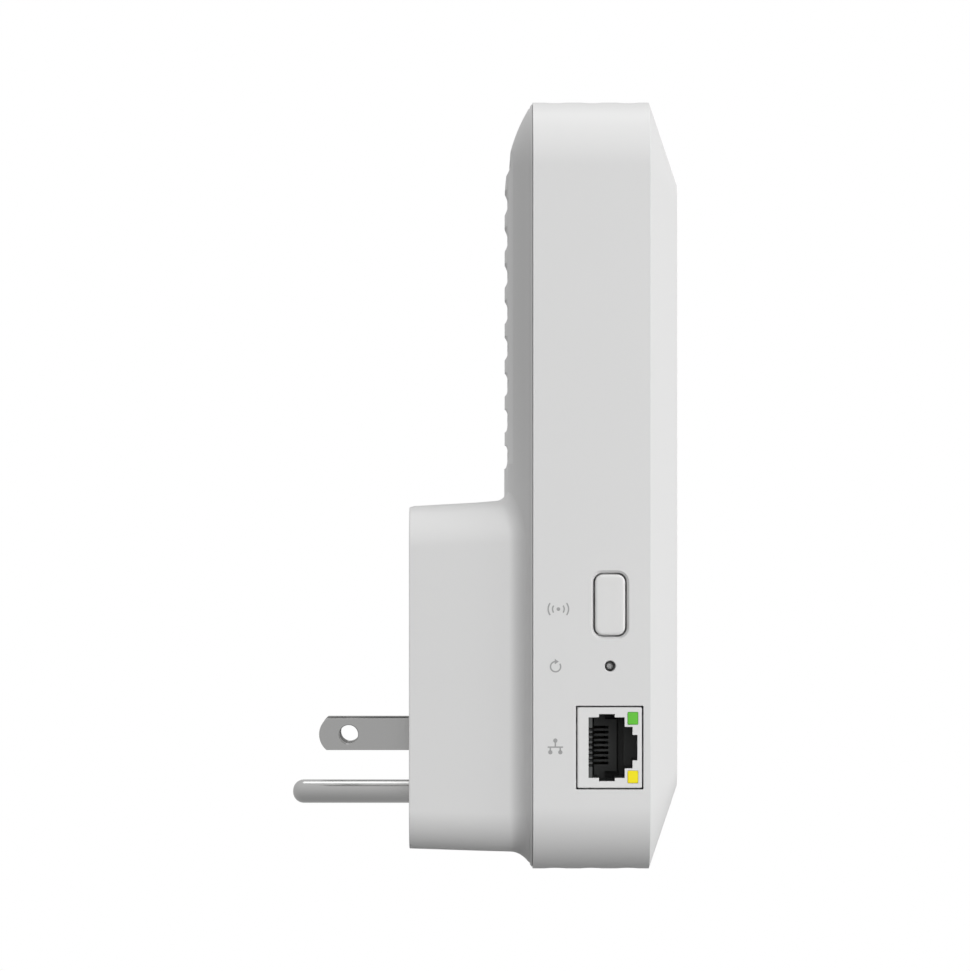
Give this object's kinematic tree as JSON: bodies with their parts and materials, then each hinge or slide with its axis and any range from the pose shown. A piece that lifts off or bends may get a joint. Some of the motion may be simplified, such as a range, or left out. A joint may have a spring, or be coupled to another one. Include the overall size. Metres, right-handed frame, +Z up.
{
  "type": "wifi range extender",
  "caption": "Plug-in wifi range extender: two-part faceted housing, fluted vented back, three-pin plug block, pairing button, reset hole and ethernet socket.",
  "frame": {"origin": "on the plug block's end face, where it meets the wall plate, midway between the two flat blades", "axes": "+Z up, +Y towards the wall (the prongs point along +Y and the front faces -Y), -X is the side with the button and the socket"},
  "size_m": [0.0802, 0.0774, 0.1522],
  "materials": {
    "shell_plastic": "fine satin moulding",
    "button_plastic": "satin",
    "prong_metal": "nickel plated",
    "socket_metal": "satin plated",
    "socket_plastic": "satin",
    "contact_metal": "plated",
    "green_lens": "translucent",
    "yellow_lens": "translucent",
    "clear_plastic": "clear",
    "board_laminate": "solder mask",
    "tinned_steel": "tinned",
    "aluminium": "as extruded",
    "component_plastic": "moulded",
    "capacitor_sleeve": "shrink sleeve",
    "ferrite": "sintered",
    "winding_tape": "tape",
    "insulation_film": "film",
    "wire_sleeve": "insulated",
    "antenna_metal": "stamped",
    "thermal_pad": "soft",
    "label_film": "foil"
  },
  "bodies": {
    "housing": {"front_shell": "shell_plastic", "rear_shell": "shell_plastic", "plug_plate": "shell_plastic", "neutral_blade": "prong_metal", "line_blade": "prong_metal", "ground_pin": "prong_metal", "rating_label": "label_film", "pairing_switch": "component_plastic", "reset_switch": "component_plastic", "socket_shield": "socket_metal", "socket_insert": "socket_plastic", "socket_lamp_green": "green_lens", "socket_lamp_yellow": "yellow_lens", "light_pipe": "clear_plastic", "main_board": "board_laminate", "processor_can": "tinned_steel", "radio_can": "tinned_steel", "heatsink": "aluminium", "thermal_pad": "thermal_pad", "ethernet_magnetics": "component_plastic", "flash_chip": "component_plastic", "memory_chip": "component_plastic", "dc_header": "component_plastic", "rectifier_bridge": "component_plastic", "line_filter_capacitor": "winding_tape", "power_board": "board_laminate", "insulation_sheet": "insulation_film", "transformer_core": "ferrite", "transformer_winding": "winding_tape", "bulk_capacitor_1": "capacitor_sleeve", "bulk_capacitor_2": "capacitor_sleeve", "output_capacitor": "capacitor_sleeve", "line_choke": "ferrite", "fuse": "tinned_steel", "antenna_top_left": "antenna_metal", "antenna_top_right": "antenna_metal", "antenna_side_left": "antenna_metal", "antenna_side_right": "antenna_metal", "antenna_lead_top_left": "wire_sleeve", "antenna_lead_top_right": "wire_sleeve", "antenna_lead_side_left": "wire_sleeve", "antenna_lead_side_right": "wire_sleeve", "neutral_lead": "wire_sleeve", "line_lead": "wire_sleeve", "board_screw_1": "tinned_steel", "board_screw_2": "tinned_steel", "board_screw_3": "tinned_steel", "board_screw_4": "tinned_steel"},
    "pairing_button": {"pairing_button": "button_plastic"},
    "pairing_plunger": {"pairing_plunger": "ferrite"},
    "reset_plunger": {"reset_plunger": "ferrite"},
    "socket_contacts": {"socket_contact_1": "contact_metal", "socket_contact_2": "contact_metal", "socket_contact_3": "contact_metal", "socket_contact_4": "contact_metal", "socket_contact_5": "contact_metal", "socket_contact_6": "contact_metal", "socket_contact_7": "contact_metal", "socket_contact_8": "contact_metal"}
  },
  "joints": [
    {"name": "pairing_button_press", "type": "slide", "parent": "housing", "child": "pairing_button", "axis": [1, 0, 0], "range_m": [0, 0.0005], "stiffness_N_per_m": 600},
    {"name": "pairing_plunger_press", "type": "slide", "parent": "housing", "child": "pairing_plunger", "axis": [1, 0, 0], "range_m": [0, 0.0005], "stiffness_N_per_m": 300},
    {"name": "reset_plunger_press", "type": "slide", "parent": "housing", "child": "reset_plunger", "axis": [1, 0, 0], "range_m": [0, 0.0003], "stiffness_N_per_m": 600},
    {"name": "socket_contact_flex", "type": "hinge", "parent": "housing", "child": "socket_contacts", "pos_m": [-0.0368, -0.0347, -0.00105], "axis": [0, 0, 1], "range_deg": [0, 12], "stiffness_Nm_per_rad": 0.05}
  ],
  "couplings": [
    {"joint": "pairing_plunger_press", "follows": "pairing_button_press", "ratio": 1}
  ]
}
